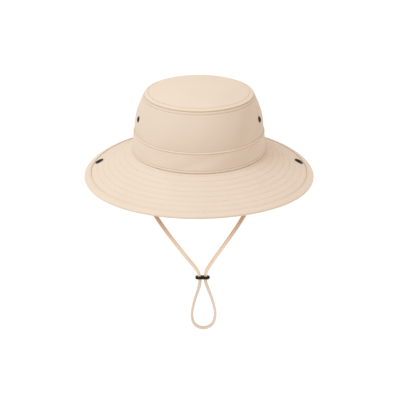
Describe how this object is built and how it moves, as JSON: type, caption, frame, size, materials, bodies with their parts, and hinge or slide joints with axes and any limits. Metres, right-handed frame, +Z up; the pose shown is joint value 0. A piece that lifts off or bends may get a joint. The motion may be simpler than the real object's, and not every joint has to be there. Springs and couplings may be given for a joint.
{
  "type": "boonie hat",
  "caption": "Wide-brimmed cloth hat with an oval domed crown, a stitched band, a quilted brim whose sides snap up, and a chin cord with a sliding bead.",
  "frame": {"origin": "centre of the head opening, in the plane where the crown meets the brim", "axes": "+Z up through the crown, -Y to the front, +X to the wearer's left"},
  "size_m": [0.3028, 0.3333, 0.3547],
  "materials": {
    "crown_cloth": "smooth plain weave, matt, with a soft sheen",
    "brim_cloth": "smooth plain weave, quilted by stitch rows",
    "band_cloth": "smooth plain weave",
    "sweatband_cloth": "soft brushed weave",
    "interlining": "stiff felted sheet",
    "tape": "ribbed woven tape",
    "cord": "flat braid",
    "black_metal": "black enamel, satin",
    "bead_plastic": "moulded, fine satin grain"
  },
  "bodies": {
    "hat": {"crown_top": "crown_cloth", "crown_side": "crown_cloth", "hat_band": "band_cloth", "sweatband": "sweatband_cloth", "tip_seam_tape": "tape", "back_seam_tape": "tape", "brim_upper_middle": "brim_cloth", "brim_interlining_middle": "interlining", "brim_lower_middle": "brim_cloth", "brim_binding_front": "brim_cloth", "brim_binding_rear": "brim_cloth", "eyelet_front_left": "black_metal", "eyelet_washer_front_left": "black_metal", "eyelet_rear_left": "black_metal", "eyelet_washer_rear_left": "black_metal", "crown_snap_stud_left": "black_metal", "crown_snap_post_left": "black_metal", "eyelet_front_right": "black_metal", "eyelet_washer_front_right": "black_metal", "eyelet_rear_right": "black_metal", "eyelet_washer_rear_right": "black_metal", "crown_snap_stud_right": "black_metal", "crown_snap_post_right": "black_metal", "chin_cord_left": "cord", "chin_cord_right": "cord", "chin_cord_loop": "cord"},
    "left_brim_side": {"brim_upper_left": "brim_cloth", "brim_interlining_left": "interlining", "brim_lower_left": "brim_cloth", "brim_binding_left": "brim_cloth", "brim_snap_socket_left": "black_metal", "brim_snap_cap_left": "black_metal"},
    "right_brim_side": {"brim_upper_right": "brim_cloth", "brim_interlining_right": "interlining", "brim_lower_right": "brim_cloth", "brim_binding_right": "brim_cloth", "brim_snap_socket_right": "black_metal", "brim_snap_cap_right": "black_metal"},
    "slider": {"cord_slider": "bead_plastic"}
  },
  "joints": [
    {"name": "left_brim_fold", "type": "hinge", "parent": "hat", "child": "left_brim_side", "pos_m": [0.08814, 0.01417, -0.001], "axis": [0.1213, -0.9926, 0], "range_deg": [0, 126.2]},
    {"name": "right_brim_fold", "type": "hinge", "parent": "hat", "child": "right_brim_side", "pos_m": [-0.08814, 0.01417, -0.001], "axis": [0.1213, 0.9926, 0], "range_deg": [0, 126.2]},
    {"name": "slider_travel", "type": "slide", "parent": "hat", "child": "slider", "axis": [0, 0, 1], "range_m": [-0.04, 0.1], "deforming": ["chin_cord_left", "chin_cord_right", "chin_cord_loop"]}
  ]
}
